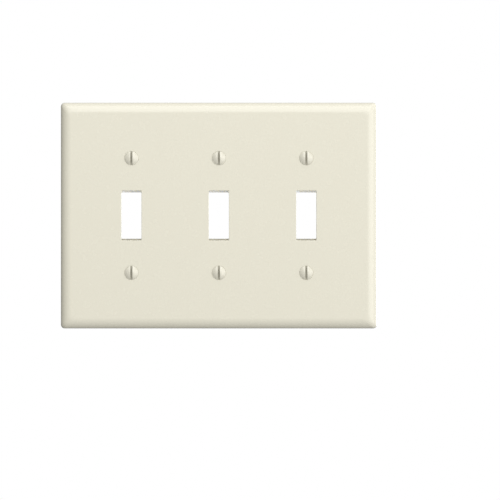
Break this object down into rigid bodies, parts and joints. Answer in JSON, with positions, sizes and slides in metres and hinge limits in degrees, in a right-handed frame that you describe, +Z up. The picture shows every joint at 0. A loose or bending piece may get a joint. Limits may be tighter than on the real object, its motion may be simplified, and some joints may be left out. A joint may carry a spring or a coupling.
{
  "type": "toggle switch wall plate",
  "caption": "Wide wall plate with rolled edges, upright slots for toggle switches, and slotted oval-head cover screws held from behind by push-on washers.",
  "frame": {"origin": "centre of the plate in the wall plane, where the rear rim rests", "axes": "+X to the right seen from the front, +Y into the wall, +Z up; the finished face looks towards -Y"},
  "size_m": [0.1666, 0.014, 0.119],
  "materials": {
    "almond_urea": "compression-moulded urea, light almond, polished face",
    "almond_paint_on_steel": "zinc-plated steel with a light almond painted head",
    "natural_nylon": "natural moulded nylon, milky"
  },
  "bodies": {
    "plate": {"wall_plate": "almond_urea"},
    "retainer_left_top": {"screw_retainer_left_top": "natural_nylon"},
    "screw_left_top": {"cover_screw_left_top": "almond_paint_on_steel"},
    "retainer_left_bottom": {"screw_retainer_left_bottom": "natural_nylon"},
    "screw_left_bottom": {"cover_screw_left_bottom": "almond_paint_on_steel"},
    "retainer_centre_top": {"screw_retainer_centre_top": "natural_nylon"},
    "screw_centre_top": {"cover_screw_centre_top": "almond_paint_on_steel"},
    "retainer_centre_bottom": {"screw_retainer_centre_bottom": "natural_nylon"},
    "screw_centre_bottom": {"cover_screw_centre_bottom": "almond_paint_on_steel"},
    "retainer_right_top": {"screw_retainer_right_top": "natural_nylon"},
    "screw_right_top": {"cover_screw_right_top": "almond_paint_on_steel"},
    "retainer_right_bottom": {"screw_retainer_right_bottom": "natural_nylon"},
    "screw_right_bottom": {"cover_screw_right_bottom": "almond_paint_on_steel"}
  },
  "joints": [
    {"name": "turn_left_top", "type": "hinge", "parent": "plate", "child": "retainer_left_top", "pos_m": [-0.04604, -0.0057, 0.03017], "axis": [0, -1, 0], "continuous": true},
    {"name": "draw_left_top", "type": "slide", "parent": "retainer_left_top", "child": "screw_left_top", "axis": [0, -1, 0], "range_m": [0, 0.0065]},
    {"name": "turn_left_bottom", "type": "hinge", "parent": "plate", "child": "retainer_left_bottom", "pos_m": [-0.04604, -0.0057, -0.03017], "axis": [0, -1, 0], "continuous": true},
    {"name": "draw_left_bottom", "type": "slide", "parent": "retainer_left_bottom", "child": "screw_left_bottom", "axis": [0, -1, 0], "range_m": [0, 0.0065]},
    {"name": "turn_centre_top", "type": "hinge", "parent": "plate", "child": "retainer_centre_top", "pos_m": [0, -0.0057, 0.03017], "axis": [0, -1, 0], "continuous": true},
    {"name": "draw_centre_top", "type": "slide", "parent": "retainer_centre_top", "child": "screw_centre_top", "axis": [0, -1, 0], "range_m": [0, 0.0065]},
    {"name": "turn_centre_bottom", "type": "hinge", "parent": "plate", "child": "retainer_centre_bottom", "pos_m": [0, -0.0057, -0.03017], "axis": [0, -1, 0], "continuous": true},
    {"name": "draw_centre_bottom", "type": "slide", "parent": "retainer_centre_bottom", "child": "screw_centre_bottom", "axis": [0, -1, 0], "range_m": [0, 0.0065]},
    {"name": "turn_right_top", "type": "hinge", "parent": "plate", "child": "retainer_right_top", "pos_m": [0.04604, -0.0057, 0.03017], "axis": [0, -1, 0], "continuous": true},
    {"name": "draw_right_top", "type": "slide", "parent": "retainer_right_top", "child": "screw_right_top", "axis": [0, -1, 0], "range_m": [0, 0.0065]},
    {"name": "turn_right_bottom", "type": "hinge", "parent": "plate", "child": "retainer_right_bottom", "pos_m": [0.04604, -0.0057, -0.03017], "axis": [0, -1, 0], "continuous": true},
    {"name": "draw_right_bottom", "type": "slide", "parent": "retainer_right_bottom", "child": "screw_right_bottom", "axis": [0, -1, 0], "range_m": [0, 0.0065]}
  ]
}
